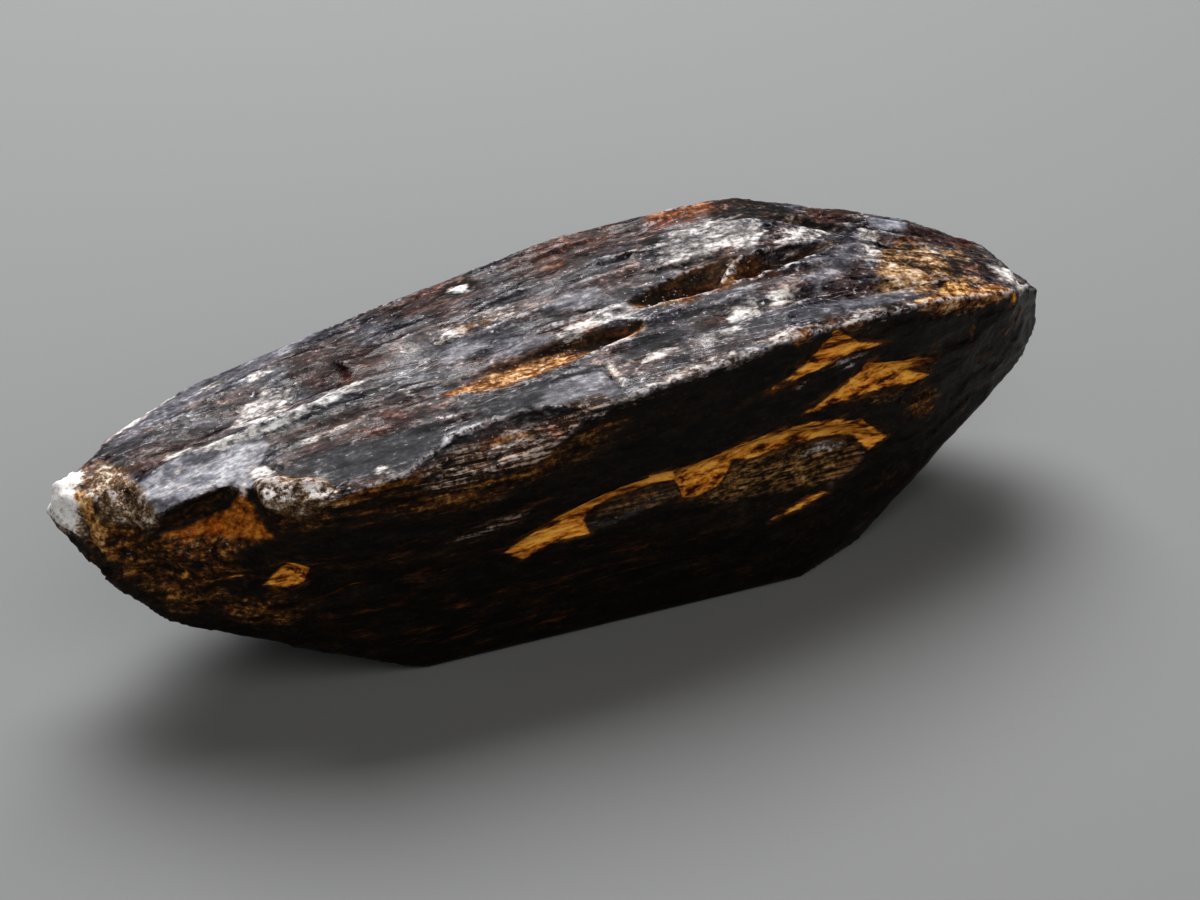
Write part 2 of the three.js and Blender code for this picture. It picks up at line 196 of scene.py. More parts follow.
TOP, FRONT = "top", "front"
AXES = {TOP: (0, 1), FRONT: (0, 2)}
OUT = {TOP: np.array([0, 0, 1.0]), FRONT: np.array([0, -1.0, 0])}
REACH = {TOP: 5.6, FRONT: 0.3}  # a face's patches lie at least this far out along OUT, in mm
TURNED = {TOP: 0.5, FRONT: 0.1}  # and where the surface faces out by at least this much
ANY_WAY = -1.0
TURN_DEPTH = 4.0  # mm of depth for the whole turn from facing out to facing along


def inside(spots, outline):
    """Which spots of a face are inside an outline."""
    found = np.zeros(len(spots), bool)
    for (u0, v0), (u1, v1) in zip(outline, outline[1:] + outline[:1]):
        if v0 != v1:
            crosses = (spots[:, 1] < v0) != (spots[:, 1] < v1)
            found ^= crosses & (spots[:, 0] < u0 + (spots[:, 1] - v0) / (v1 - v0) * (u1 - u0))
    return found


def patch(face, outline, shrink=0.0, turned=None):
    """Depth inside an outline on a face: below zero outside it, or where the face turns away."""
    limit = TURNED[face] if turned is None else turned
    spots = points[:, AXES[face]]
    nearest = np.full(count, 99.0)
    for start, end in zip(np.array(outline, float), np.roll(outline, -1, axis=0)):
        along = end - start
        share = np.clip((spots - start) @ along / (along @ along), 0, 1)
        nearest = np.minimum(nearest, np.linalg.norm(spots - start - share[:, None] * along, axis=1))
    depth = np.where(inside(spots, outline), nearest, -nearest) - shrink
    turned_out = (facing @ OUT[face] - limit) * TURN_DEPTH
    return np.min([depth, turned_out, points @ OUT[face] - REACH[face]], axis=0)


def streak(line, width):
    """Depth inside a streak along a line: full width in its middle, and pointed at both ends."""
    line = np.array(line, float)
    lengths = np.linalg.norm(np.diff(line, axis=0), axis=1)
    depth, passed = np.full(count, -99.0), 0
    for start, end, length in zip(line, line[1:], lengths):
        share = np.clip((points - start) @ (end - start) / length ** 2, 0, 1)
        place = (passed + share * length) / lengths.sum()
        half_width = width / 2 * np.sqrt(np.sin(np.pi * place).clip(0.02, 1))
        off_line = np.linalg.norm(points - start - share[:, None] * (end - start), axis=1)
        depth = np.maximum(depth, half_width - off_line)
        passed += length
    return depth


def together(*parts):
    """Parts of one kind of ground, kept to 1 mm inside and outside their edge."""
    return np.clip(np.max(parts, axis=0), -1, 1)


# The far slot is in two lenses with a thin slanting wall between them
NEAR_SLOT = [[-4.1, -1.85], [-3.4, -1.62], [-2.3, -1.42], [-1.1, -1.25], [0.5, -1.12], [1.6, -1.25],
             [1.75, -1.5], [0.8, -1.85], [0, -1.95], [-0.7, -2.1], [-1.6, -2.35], [-2.6, -2.35],
             [-3.5, -2.15]]
FAR_SLOT = [[1.4, -0.6], [2.3, -0.2], [3.3, 0.1], [4.2, 0.38], [5, 0.2], [5.9, 0.05], [6.7, 0.33],
            [7.95, 0.7], [7.4, 0.2], [6.5, -0.2], [5.6, -0.5], [4.9, -0.6], [4, -0.65], [3, -0.78],
            [1.9, -0.85]]

NOTCH_BACK = -1.9
NOTCH_END = -11.27
ROOF_HEIGHT, ROOF_RISE = 6.03, 0.3  # at the notch's end, and along the crystal from there


def in_notch(outline):
    """A patch anywhere in the notch: in front of its back wall and under the slab that roofs it."""
    under_roof = ROOF_HEIGHT + ROOF_RISE * (points[:, 0] - NOTCH_END) - points[:, 2]
    return np.min([patch(FRONT, outline, turned=ANY_WAY), NOTCH_BACK - points[:, 1], under_roof], axis=0)


# Above zero on the back and on the underside, but not in the hollows of the top
unseen = np.maximum(facing[:, 1] - 0.6 * facing[:, 2].clip(0), -facing[:, 2]) - 0.3
# A slow drift over the crystal, by which each hollow there is ochre or brown
drift = np.array([noise.noise(Vector((x * 0.3, y * 0.5, z * 0.5))) for x, y, z in points])
# The glass ends at a plane that slants up and back from the point
glass_edge = 0.15 * (points[:, 1] + 0.7).clip(0) + 0.25 * (points[:, 2] - 6.1) - points[:, 0] - 13.1
GLASS_FOOT = 5.15
SCAR_REACH = 0.12  # mm of brown stone bared about the ochre
CRUMB_REACH = 0.2  # and of broken stone about the glass

zones = {
    # Slate grey over all that faces up: the dark stone lightened to grey by a painted sheen of the light
    # from above
    "ground": together(np.minimum(facing[:, 2], broad_facing[:, 2]) - 0.42),
    # Brown-maroon ground, where the stone itself shows
    "maroon": together(
        patch(TOP, [[-12.4, -0.5], [-11.4, 0.2], [-9.8, 0.3], [-9.1, -0.1], [-9.9, -0.7], [-11.5, -1]]),
        patch(TOP, [[-6.7, 1.9], [-5.6, 1.6], [-4.8, 0.6], [-5, -0.4], [-6.1, -0.7], [-7.2, 0.2],
                    [-7.3, 1.2]]),
        patch(TOP, [[-8.2, -1.4], [-6.6, -1.15], [-4.4, -1.5], [-4.2, -2.3], [-5.6, -2.6], [-7.2, -2.5],
                    [-8.2, -2.1]]),
        patch(TOP, [[-4.3, 2.2], [-3.2, 1.2], [-1.9, 1.5], [-1.6, 2.3], [-2.8, 2.9]]),
        patch(TOP, [[-0.9, 1.4], [-0.6, 2.6], [0.1, 3], [1.3, 2.9], [2.6, 3.1], [2.9, 2.4], [1.5, 1.6],
                    [0.4, 0.9]]),
        patch(TOP, [[2.6, -2.2], [3.1, -1.6], [4, -1.6], [4.4, -1.9], [3.5, -2.2]]),
        patch(TOP, [[7.2, 1.7], [7.8, 2.7], [9.2, 2.4], [9, 1.9], [8.4, 1.5]]),
        patch(TOP, [[10.2, 1.2], [10.6, 2.4], [11.8, 2.2], [12.8, 1.8], [12.7, 1.1], [11.8, 0.9],
                    [10.9, 0.9]]),
    ),
    # Smooth slabs and bands, where a thin plate takes the light as one: dark slate, and satin and milky
    # ones whose pale grey-violet is a painted sheen
    "slate": together(
        patch(TOP, [[-8.6, -2.5], [-7.3, -2.4], [-5.3, -2.5], [-4.3, -2.7], [-4.5, -3.5], [-5.6, -3.8],
                    [-7.1, -3.6], [-8, -3.3]]),
        patch(TOP, [[-3.9, -2.4], [-1.6, -2.5], [0.2, -2.4], [0.2, -3.3], [-2.5, -3.4]]),
        patch(TOP, [[0.4, -2.4], [1.3, -1.9], [2.4, -1.8], [2.5, -2.4], [1.7, -2.5]]),
    ),
    "satin_sheen": together(
        streak([[-12.2, 0.5, 6.3], [-11.6, 0.9, 6.4], [-10.8, 1.35, 6.5], [-9.5, 1.7, 6.7],
                [-7.5, 2.1, 6.9], [-6.2, 2.4, 7.1]], 1.1),
        patch(TOP, [[-3.9, -0.8], [-3.2, -0.2], [-2.3, -0.15], [-2.1, -0.5], [-2.9, -0.95]]),
        patch(TOP, [[-2.6, -0.9], [-2, -0.5], [-1.2, -0.8], [-0.6, -1.1], [-0.9, -1.3], [-1.9, -1.35]]),
        patch(TOP, [[-0.9, -0.2], [0, 0.4], [0.9, 0.3], [1.1, -0.2], [0.2, -0.5]]),
        patch(TOP, [[-1.9, -3.2], [-1.4, -2.7], [0.1, -2.5], [0.2, -2.8], [0.4, -3.4], [-0.4, -3.7]]),
        patch(TOP, [[6.2, -0.9], [7.3, -0.2], [8.6, 0.9], [9.1, 1.2], [8.7, -0.2], [7.6, -0.7],
                    [6.6, -1.3]]),
        streak([[5.6, -2.2, 7.85], [7.4, -1.8, 7.65], [9.9, -1.5, 7.3]], 0.5),
    ),
    "milk_sheen": together(
        patch(TOP, [[-11.9, -1.3], [-11.75, -1.85], [-11.6, -2.5], [-9.2, -2.9], [-8.7, -2.1],
                    [-8.4, -1.6], [-8.5, -1.15], [-9.9, -1.05], [-10.9, -1]]),
        patch(TOP, [[9.3, 1.5], [9.5, 2], [10.6, 2.15], [10.4, 1.5]]),
    ),
    # Green-black ground by the crest and the tip
    "black": together(
        patch(TOP, [[4.9, 3.1], [4.8, 2], [5.4, 1.5], [6.2, 1.3], [7.4, 1.35], [8.7, 1.5], [7.6, 2.2],
                    [6.4, 3]]),
        patch(TOP, [[10.4, 0.3], [11, 0.2], [12.4, 0.3], [12.2, -0.4], [11.1, -0.7], [10.5, -0.4]]),
        patch(TOP, [[-3, 1.9], [-2.7, 2.6], [-1.8, 2.6], [-1.6, 2], [-2.2, 1.7]]),
        patch(TOP, [[-1, -0.1], [0.4, -0.3], [1.2, -0.4], [0.4, -0.75], [-0.4, -0.6]], 0.05),
        patch(TOP, [[2.3, 0.9], [2.7, 1.7], [3.4, 2], [3.2, 1.3]], 0.05),
        patch(TOP, [[0.8, -2.6], [1.8, -2.1], [2.5, -2], [2.4, -2.3], [1.4, -2.8]], 0.05),
    ),
    # White crust and frosted ground
    "frost": together(
        patch(TOP, [[-9.1, -0.5], [-8.6, 0.35], [-7.9, 0.7], [-7.3, 0.4], [-7.5, -0.5], [-8, -0.95],
                    [-8.6, -1]]),
        patch(TOP, [[-0.6, -1.15], [0.1, -0.9], [0.9, -0.45], [1.5, -0.6], [1.75, -1.05], [1.1, -1.1],
                    [-0.1, -1.15]]),
        patch(TOP, [[2.6, 0.5], [3.5, 1.6], [4.6, 2.1], [5.4, 1.6], [5.9, 1.1], [5.4, 0.4], [4.5, 0.42],
                    [3.5, 0.25]]),
        patch(TOP, [[5.9, 0.35], [6.6, 1], [7.7, 1.5], [8, 1], [7.1, 0.6]]),
        patch(TOP, [[8.2, -0.4], [8.8, 0.9], [9.1, 1.5], [9.4, 1.3], [9.25, 0.5], [8.9, -0.4]]),
        streak([[2.6, -2.5, 7.92], [3.3, -2.3, 7.95], [4.1, -2.15, 7.95]], 0.36),
        streak([[0.8, -2.85, 7.8], [1.4, -2.6, 7.9], [2.2, -2.4, 7.95]], 0.2),
        streak([[12.4, 0.45, 6.35], [12.85, 0.1, 6.35], [13, -0.4, 6.2], [12.8, -0.9, 6.2]], 0.9),
    ),
    # White veins, and painted glints: white lines on the ledge over the sheened slab, on the outer rim
    # of the ridge and along the short cracks across the grain, partly painted highlights on those edges;
    # and white in a few bright blocks and at the very tip
    "vein_and_glint": together(
        streak([[-10.9, -0.72, 6.6], [-9.9, -0.97, 6.8], [-9.2, -1.05, 6.95],
                [-8.5, -1.06, 7.05]], 0.3),
        streak([[-8.4, -1.06, 7.1], [-7.4, -0.9, 7.25], [-6.6, -0.78, 7.3], [-5.3, -0.45, 7.5]], 0.38),
        streak([[-8.3, -2.0, 6.95], [-7.2, -1.9, 7.1], [-5.9, -1.75, 7.3]], 0.12),
        streak([[-9.9, -0.35, 6.6], [-8.9, -0.3, 6.8], [-8.0, -0.4, 7]], 0.12),
        streak([[-8.4, 1.15, 6.95], [-8.0, 1.2, 7.05], [-7.5, 1.22, 7.1]], 0.2),
        streak([[-9.5, 1.55, 6.75], [-9, 1.6, 6.8], [-8.6, 1.62, 6.85]], 0.14),
        streak([[-12, 1.0, 6.2], [-11, 1.6, 6.35], [-9.9, 1.95, 6.5]], 0.24),
        streak([[-9.3, 2.1, 6.6], [-8.2, 2.5, 6.7], [-7, 2.8, 6.8]], 0.24),
        streak([[-4.85, -1.3, 7.62], [-4.65, -1.5, 7.6], [-4.55, -1.72, 7.54]], 0.12),
        streak([[0.3, -2.35, 7.9], [0.38, -2.9, 7.8], [0.42, -3.28, 7.7], [0.85, -3.55, 7.6]], 0.13),
        streak([[-4, -2.2, 7.5], [-3.8, -2.7, 7.4], [-3.6, -3.1, 7.3]], 0.07),
        patch(TOP, [[5.1, -1.6], [5.3, -1.3], [5.75, -1.2], [5.8, -1.4], [5.4, -1.65]], -0.04),
        patch(TOP, [[3.85, -1.95], [4.1, -1.6], [4.7, -1.5], [4.75, -1.85]], -0.02),
        patch(TOP, [[-2.7, 1.95], [-2.45, 2.35], [-1.95, 2.25], [-1.95, 1.85]], 0.05),
        streak([[-0.6, -1.15, 8.05], [0.3, -0.95, 8.15], [1.3, -0.95, 8.2]], 0.34),
        streak([[12.45, 0.4, 6.35], [12.85, 0.1, 6.35], [13, -0.4, 6.2]], 0.55),
        # and a block and a sliver by the notch, scratches on the slab painted with a sheen and grains on
        # the slate
        patch(TOP, [[-8.98, -2.3], [-8.72, -2.2], [-8.5, -2.6], [-8.52, -2.95], [-8.8, -2.9],
                    [-9.05, -2.65]]),
        streak([[-9.3, -2.55, 6.72], [-9.34, -2.72, 6.52], [-9.4, -2.68, 6.36]], 0.11),
        streak([[-11, -2, 6.46], [-10.2, -1.6, 6.65], [-9.7, -1.45, 6.75]], 0.05),
        streak([[-11.2, -1.75, 6.45], [-10.6, -1.3, 6.6]], 0.06),
        streak([[-10.3, -2.3, 6.6], [-9.9, -2.1, 6.66]], 0.07),
        streak([[-8.3, -2.55, 6.93], [-8.12, -2.5, 6.93]], 0.13),
        streak([[-7.6, -3.1, 6.96], [-7.45, -3.05, 6.96]], 0.13),
        streak([[-6.2, -3.6, 7.08], [-6.0, -3.55, 7.08]], 0.12),
    ),
    # The broken front edge, flaked to a pale crust
    "rim": together(
        streak([[-1.2, -3.8, 7.35], [0.7, -3.5, 7.7], [2.2, -3.25, 7.8], [4.4, -2.95, 7.85],
                [5.8, -2.7, 7.8], [6.6, -2.55, 7.72], [8.2, -2.2, 7.55], [10, -1.8, 7.2]], 0.27),
        # and two slivers on the front under it
        streak([[5.5, -2.95, 6.42], [6.3, -2.8, 6.6], [7.6, -2.5, 6.52]], 0.14),
        streak([[5.6, -2.8, 3.75], [6.4, -2.6, 3.85], [7.3, -2.5, 3.8]], 0.22),
        streak([[-3.8, -3.7, 7.0], [-2.6, -3.62, 7.1], [-1.6, -3.72, 7.15]], 0.34),
        # and pale grains on the top behind the near slot
        streak([[-3.5, 0, 7.9], [-2.6, 0.2, 8], [-1.8, 0.05, 8.05]], 0.45),
        streak([[-2.3, 0.15, 8], [-1.5, 0.1, 8.1], [-0.8, 0, 8.15]], 0.38),
    ),
    # Cream and tan: in the near slot, on the crust's foot and along the front edge
    "tan": together(
        np.minimum(patch(TOP, NEAR_SLOT, 0.05, turned=ANY_WAY), 0.4 - points[:, 0]),
        streak([[-2.9, 0.1, 7.95], [-2.4, 0.15, 8], [-1.9, 0.05, 8.05]], 0.12),
        streak([[-7.4, -3.9, 6.5], [-6.9, -3.92, 6.6], [-6.2, -3.95, 6.7]], 0.4),
        streak([[5.2, -2.95, 7.6], [5.6, -2.75, 7.75], [5.8, -2.6, 7.8]], 0.3),
        streak([[6.3, -2.72, 7.5], [6.9, -2.6, 7.5], [7.6, -2.45, 7.4]], 0.22),
        streak([[9, -2.0, 7.3], [10, -1.8, 7.1], [11.2, -1.5, 6.8], [12.8, -1.05, 6.35]], 0.66),
        streak([[-6.5, -3.95, 6.75], [-5.7, -4, 6.95], [-4.9, -3.95, 7.0]], 0.2),
    ),
    # The weathered end by the dark tip, where ochre, rust and white lie mixed
    "weathered": together(
        patch(TOP, [[8.3, -1.3], [8.9, 0], [9.9, 0.9], [11, 0.7], [10.8, -0.5], [11.8, -0.9],
                    [12.3, -1.3], [11, -1.6], [9.8, -1.7]]),
        streak([[10.3, 0.35, 7.2], [11.3, 0.5, 6.9], [12.6, 0.7, 6.4]], 0.35),
        streak([[9.6, -1.75, 7.3], [10.9, -1.4, 7.05], [12.3, -1.0, 6.6]], 0.6),
    ),
    # Rust, a thin stain
    "rust": together(
        streak([[-0.2, 1.5, 8.2], [0.2, 1.6, 8.3], [0.6, 1.9, 8.4]], 0.25),
        np.minimum(patch(TOP, [[3.2, 2.3], [3.4, 3.3], [5.1, 3.3], [5.1, 2.3],
                               [4.3, 2.0]]), points[:, 2] - 8.1),
    ),
    # Brown fracture, by the notch and under the glassy end
    "fracture": together(
        patch(FRONT, [[-13.2, 5.6], [-12.4, 6.3], [-11.6, 6.2], [-11.6, 5.6], [-10.5, 5.4], [-9.6, 5.4],
                      [-9.7, 4.3], [-10.5, 3.3], [-11.4, 3.1], [-12.2, 4], [-13, 4.6]]),
        patch(FRONT, [[-9.1, 6.9], [-8, 6.9], [-7.2, 6.6], [-7.4, 5.8], [-8.8, 5.6]], 0.15),
        patch(FRONT, [[-10.2, 3.8], [-8.6, 3.7], [-7.8, 3.2], [-8.2, 2.3], [-9.5, 2.3],
                      [-10.6, 2.9]], 0.25),
        streak([[-7.5, -3.4, 6.3], [-5, -4, 6], [-2.4, -3.9, 6.3], [0.2, -3.7, 7]], 0.8),
        patch(FRONT, [[8.8, 4.5], [9.6, 4.8], [10.2, 4.1], [9.8, 3.5], [9, 3.8]], 0.1),
        patch(FRONT, [[8.4, 5.9], [9.9, 5.7], [10, 5.4], [9.2, 5.3], [8.4, 5.5]], 0.05),
    ),
    # Brown lamellae, on the floor of the great flake and in some hollows of the back
    "lamella": together(
        np.min([(sunk - 0.03) * 4, unseen, 0.25 - drift], axis=0),
        patch(FRONT, [[-0.4, 4.35], [1.1, 4.6], [2, 4.3], [3.6, 4.35], [5.2, 4.25], [7.3, 3.8],
                      [7.5, 3.3], [7.2, 2.95], [6.5, 2.75], [5.5, 2.9], [4.3, 3.2], [3.3, 3.4],
                      [1.6, 4.1], [-0.4, 4]]),
        patch(FRONT, [[7.4, 5.15], [8.5, 4.9], [9.2, 5], [8.6, 4.7], [7.8, 4.85]]),
    ),
    # Thin plates stacked along the front edge, and a sliver of the same lower down
    "plates": together(
        patch(TOP, [[-3.8, -3.55], [-2.4, -3.45], [-0.2, -3.35], [0.2, -3.7], [-1, -3.95], [-3.5, -4]]),
        patch(FRONT, [[-5.4, 6.7], [-5, 7.05], [-3.5, 7.2], [-1.6, 7.3], [-1.3, 7], [-2, 6.6],
                      [-3.2, 6.4], [-4.6, 6.25]]),
        streak([[-5, -4, 4.35], [-3.6, -3.95, 4.65], [-2.3, -3.9, 4.95]], 0.3),
    ),
    # Painted shade: dark brown on the walls of the slots and of the notch, where shade falls
    "wall_shade": together(
        np.minimum(patch(TOP, NEAR_SLOT, turned=ANY_WAY),
                   np.maximum((-facing[:, 1] - 0.42) * 0.4, points[:, 0])),
        patch(TOP, FAR_SLOT, turned=ANY_WAY),
        streak([[4, -0.6, 8.1], [4.35, -0.3, 8.1], [4.8, 0.1, 8.2]], 0.6),
        in_notch([[-11.7, 5.95], [-10.9, 6.15], [-10.1, 6.35], [-9.4, 6.9], [-9.6, 6.4], [-10.03, 5.9],
                  [-10.28, 5.65], [-11.05, 5.58], [-11.7, 5.68]]),
    ),
    # Umber: the thin wall in the far slot, the front rims of both slots, the floor of the notch and
    # the front edge beside it
    "umber": together(
        in_notch([[-9.2, 6.4], [-9.05, 5.9], [-8.8, 5.5], [-9.4, 5.2], [-10, 4.95], [-10.8, 5.0],
                  [-11.8, 5.25], [-11.6, 5.4], [-10.6, 5.45], [-10.1, 5.6], [-9.6, 5.95]]),
        streak([[-11.5, -2.2, 4.9], [-10.6, -2.6, 4.85], [-9.8, -2.9, 5.0]], 0.2),
        streak([[11.0, -1.66, 6.6], [11.05, -1.66, 6.0], [11.05, -1.67, 5.4]], 0.09),
        streak([[13.05, -0.73, 5.6], [12.65, -1.08, 5.35], [12.3, -1.23, 5.0]], 0.1),
        streak([[-7.3, -3.9, 6.6], [-6.6, -3.95, 6.7], [-5.6, -4, 6.9], [-4.9, -3.95, 7.0]], 0.45),
        streak([[3.9, -0.8, 8.2], [4.25, -0.45, 8.2], [4.6, -0.1, 8.3], [4.9, 0.15, 8.4]], 0.22),
        streak([[1.5, -0.75, 8.2], [2.2, -0.85, 8.2], [3.2, -0.8, 8.15], [4.2, -0.64, 8.2],
                [5.4, -0.56, 8.2], [6.4, -0.2, 8.2]], 0.34),
        streak([[-0.6, -1.85, 7.85], [0.6, -1.8, 7.9], [1.75, -1.45, 8.05]], 0.34),
    ),
    # Ochre, in the hollows that flakes have left
    "ochre": together(
        # The rim of the great flake, in its slim part, its broad part and the blot between them
        patch(FRONT, [[-3, 3.65], [-1.9, 4.12], [-1.25, 4.6], [-0.3, 4.62], [0.3, 4.78], [1, 5.05],
                      [1.7, 4.95], [1.8, 4.5], [1, 4.55], [0.3, 4.5], [-0.5, 4.28], [-0.8, 4.05],
                      [-0.7, 3.6], [-1.5, 3.6], [-2.5, 3.3]]),
        patch(FRONT, [[1.6, 4.9], [2.3, 4.95], [3.6, 5.08], [4.8, 5.12], [6, 4.95], [7.4, 4.5],
                      [8.2, 3.6], [7.7, 3.3], [7.3, 3.8], [6.3, 4.1], [5.2, 4.22], [4, 4.3], [3.3, 4.4],
                      [2.6, 4.5]]),
        patch(FRONT, [[1.7, 4.75], [2.6, 4.6], [3.5, 4.35], [3.2, 3.95], [2.5, 3.85], [1.9, 4]]),
        streak([[4.6, -3.36, 2.3], [5.5, -3.15, 2.4], [6.3, -3.0, 2.55]], 0.12),
        # The two hooks above it
        patch(FRONT, [[4.6, 6.52], [5.5, 6.75], [6.1, 6.95], [6.35, 7.4], [6.45, 7.6], [6.9, 7.3],
                      [7.2, 6.95], [8, 6.62], [7.3, 6.7], [6.7, 6.7], [6.0, 6.6], [5.3, 6.48]]),
        patch(FRONT, [[5.6, 5.36], [6.4, 5.58], [7, 5.66], [7.55, 5.75], [7.56, 6.2], [8.2, 5.88],
                      [8.9, 5.8], [9.8, 5.42], [9.2, 5.36], [8.5, 5.42], [9.6, 5.0], [8.9, 4.94],
                      [7.7, 5.2], [7, 5.26], [6.1, 5.3]]),
        # The chip under the notch
        patch(FRONT, [[-9.2, 3.95], [-8.9, 4.4], [-8.5, 4.7], [-8.1, 4.5], [-8.2, 4], [-8.6, 3.8]]),
        streak([[-11.2, -2.3, 3.75], [-11, -2.35, 4.1], [-10.75, -2.5, 4.65]], 0.16),
        # A spot at the dark tip
        streak([[12.5, -1.18, 6.35], [12.65, -1.1, 5.95]], 0.3),
        # Some of the hollows on the back and the underside
        np.min([(sunk - 0.05) * 4, unseen, drift - 0.05], axis=0),
    ),
    # Burnt orange, in the three-cornered hollow of the notch
    "sienna": in_notch([[-9.3, 6.8], [-9.28, 6.3], [-9.15, 5.9], [-8.85, 5.55], [-9.3, 5.36],
                        [-10.1, 5.3], [-10.7, 5.28], [-11.7, 5.45], [-10.65, 5.47], [-10.3, 5.58],
                        [-10.05, 5.74], [-9.72, 6.02], [-9.5, 6.4]]),
    # The glassy end: rough broken stone behind, clear white glass at the point, amber between
    "crumb": together(
        patch(TOP, [[-12.9, -1.2], [-12.9, -0.4], [-12.4, 0.2], [-12, -0.2], [-11.7, -1.3],
                    [-11.55, -2.1], [-12.2, -2]]),
        patch(FRONT, [[-12.7, 6.3], [-11.6, 6.2], [-11.5, 5.7], [-12.1, 5.5], [-12.8, 5.6]]),
        streak([[-9.1, -2.9, 6.9], [-8.6, -3.3, 6.85], [-7.3, -3.85, 6.75]], 1.1),
    ),
    "glass": together(np.minimum(glass_edge, points[:, 2] - GLASS_FOOT)),
    "amber": together(
        streak([[-13.15, -0.6, 6.2], [-13.05, -0.95, 6.0], [-12.93, -1.2, 5.6], [-12.85, -1.4, 5.1],
                [-12.8, -1.5, 4.8]], 0.4),
        patch(TOP, [[10, -1.6], [10.5, -1.05], [11.15, -0.95], [10.95, -1.5]]),
        streak([[-3.5, -3.6, 7.02], [-3.1, -3.52, 7.08], [-2.5, -3.5, 7.08],
                [-2.05, -3.62, 7.1]], 0.19),
        streak([[0.1, -1.6, 7.9], [0.5, -1.85, 8.1], [0.95, -1.75, 8.12], [1.4, -1.5, 8.0],
                [1.75, -1.42, 8.08]], 0.15),
    ),
    # Sugary crust of small clear grains, on the bump by the notch and in a fleck on the top
    "sugar": together(
        streak([[-9.0, -3.1, 6.85], [-8.6, -3.35, 6.82], [-8.1, -3.55, 6.8]], 0.36),
        streak([[-8.95, -2.75, 6.9], [-8.7, -2.45, 6.9], [-8.5, -2.5, 6.9]], 0.34),
        streak([[-8.1, -3.45, 6.9], [-7.6, -3.7, 6.85], [-7.1, -3.8, 6.75]], 0.25),
        streak([[-1.75, 0.8, 8.1], [-1.65, 0.4, 8.2]], 0.2),
    ),
}
zones["scar"] = zones["ochre"] + SCAR_REACH
zones["crumb"] = np.maximum(zones["crumb"], zones["glass"] + CRUMB_REACH)


# ---- The crystal: the marks of its growth ------------------------------------------------------
# Laths stand up to 0.1 mm proud of each other with their ends broken off, chips on them lean, and
# the broken stub, the crust and the front edge are rough. Slabs and the front face are smoother.

LATH = 3.4, 0.62, 0.62  # usual length, width and thickness in mm
CHIP = 1.1, 0.27, 0.27
RIB = 6.25, 2 / 3, 2 / 3
CELL_SWAY, SWAY_TURNS = 0.28, 0.9  # how far a cell's sides wander, in cells, and turns to the mm
COARSE_GRAIN, FINE_GRAIN = 3.2, 6.1  # grains to the mm
LEVEL_DRAW, LEAN_DRAW = 53.0, 37.0  # unlike each other, so that a cell's level says nothing of its lean
SWAY_SEED = 7  # noise_vector would start from the clock without it
LATH_SEED, CHIP_SEED = Vector((3.1, 7.7, 1.3)), Vector((11.9, 2.3, 5.1))
RIB_SEED, GRAIN_SEED = Vector((6.7, 17.1, 9.9)), Vector((2.9, 31.3, 4.1))


def stretched(spot, size):
    return Vector([place / length for place, length in zip(spot, size)])


def tilted_cells(spot, size, seed):
    """The level and the lean at a spot from cells that are long one way, each with its own."""
    within = stretched(spot, size) + noise.noise_vector(spot * SWAY_TURNS + seed) * CELL_SWAY + seed
    centre = noise.voronoi(within)[1][0]
    level = noise.cell(centre * LEVEL_DRAW + seed)
    lean = noise.cell_vector(centre * LEAN_DRAW + seed) - Vector((0.5, 0.5, 0.5))
    return level, lean.dot(within - centre)


noise.seed_set(SWAY_SEED)
marks = np.empty((count, 5))
for i, spot in enumerate(Vector(p) for p in points):
    level, lean = tilted_cells(spot, LATH, LATH_SEED)
    chip_level, chip_lean = tilted_cells(spot, CHIP, CHIP_SEED)
    rib = noise.noise(stretched(spot, RIB) + RIB_SEED)
    coarse = noise.noise(spot * COARSE_GRAIN + RIB_SEED)
    fine = noise.noise(spot * FINE_GRAIN + GRAIN_SEED)
    marks[i] = level, lean, chip_level * 0.5 + chip_lean, 0.5 - 2 * abs(rib), coarse + 0.6 * fine
levels, leans, chip_marks, ribs, grains = marks.T


def bounded(values, low, high):
    """Nought below the low value, one above the high value, and a straight run between them."""
    return np.clip((values - low) / (high - low), 0, 1)


def on_any(start, *names):
    """One on some kinds of ground, and nought off them from a small depth outside their edge."""
    return bounded(np.max([zones[name] for name in names], axis=0), start, 0.15)


# How much each point belongs to the top, the front, the two rough ends and each kind of ground
top_side = bounded(np.minimum(facing[:, 2], broad_facing[:, 2] + 0.15), 0.3, 0.7)
front_side = bounded(-facing[:, 1], 0.3, 0.8)
stub = bounded(-points[:, 0], 12.0, 12.8)
tip = bounded(points[:, 0], 12.4, 13.0) * top_side
slab = on_any(-0.05, "milk_sheen", "satin_sheen", "slate")
broken = on_any(-0.05, "ochre", "sienna", "lamella", "tan")
crust = on_any(-0.1, "frost", "plates", "fracture", "crumb", "sugar")
edge = on_any(-0.1, "rim")

# The heights of the marks in mm, and the height above the ground over which they fade in
LATH_STEP, LATH_LEAN, CHIP_RISE, RIB_RISE = 0.05, 0.05, 0.02, 0.03
GRAIN_RISE, END_RISE, CRUST_RISE, BROKEN_RISE = 0.012, 0.05, 0.022, 0.012
GROUND_FADE = 0.5
lath_share = (1 - 0.5 * np.maximum(front_side, top_side)) * (1 - 0.7 * slab) * (1 - 0.6 * broken)
rise = lath_share * (LATH_STEP * levels + LATH_LEAN * leans + CHIP_RISE * chip_marks + RIB_RISE * ribs)
grain_rise = GRAIN_RISE + CRUST_RISE * crust + BROKEN_RISE * broken
grain_rise += END_RISE * np.max([stub, tip, edge], axis=0)
rise = (rise + grain_rise * grains) * bounded(points[:, 2], 0, GROUND_FADE)

